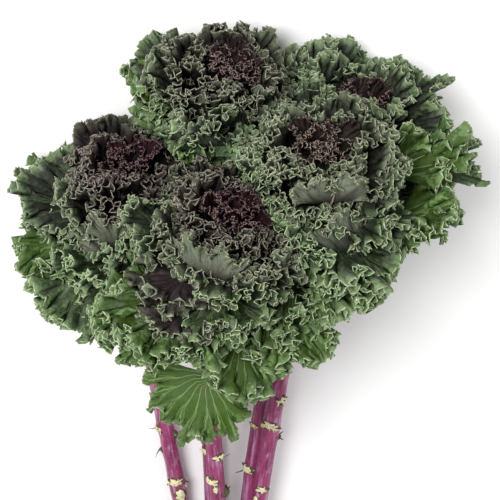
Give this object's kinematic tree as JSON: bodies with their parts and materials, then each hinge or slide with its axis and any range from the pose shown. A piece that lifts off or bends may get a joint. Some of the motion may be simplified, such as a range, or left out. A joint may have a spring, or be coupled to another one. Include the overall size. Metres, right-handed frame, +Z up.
{
  "type": "ornamental kale bunch",
  "caption": "Loose bunch of cut ornamental kale lying on a surface: frilly green rosettes with dark purple hearts on magenta stems.",
  "frame": {"origin": "on the surface under the middle of the bunch's bounding box", "axes": "+Y along the stems from the cut ends towards the rosettes, +Z up from the surface, +X to the right"},
  "size_m": [0.2786, 0.4964, 0.1596],
  "materials": {
    "leaves": "waxy blue-green leaf with pale veins and pale frilled rims",
    "heart": "dark burgundy young leaves with thin pinkish rims",
    "stem": "satin magenta skin with a lilac waxy bloom and cream leaf scars"
  },
  "bodies": {
    "root": {"front_stem": "stem", "front_leaves": "leaves", "front_heart": "heart", "left_stem": "stem", "left_leaves": "leaves", "left_heart": "heart", "right_stem": "stem", "right_leaves": "leaves", "right_heart": "heart", "back_left_stem": "stem", "back_left_leaves": "leaves", "back_left_heart": "heart", "back_right_stem": "stem", "back_right_leaves": "leaves", "back_right_heart": "heart"}
  },
  "joints": []
}
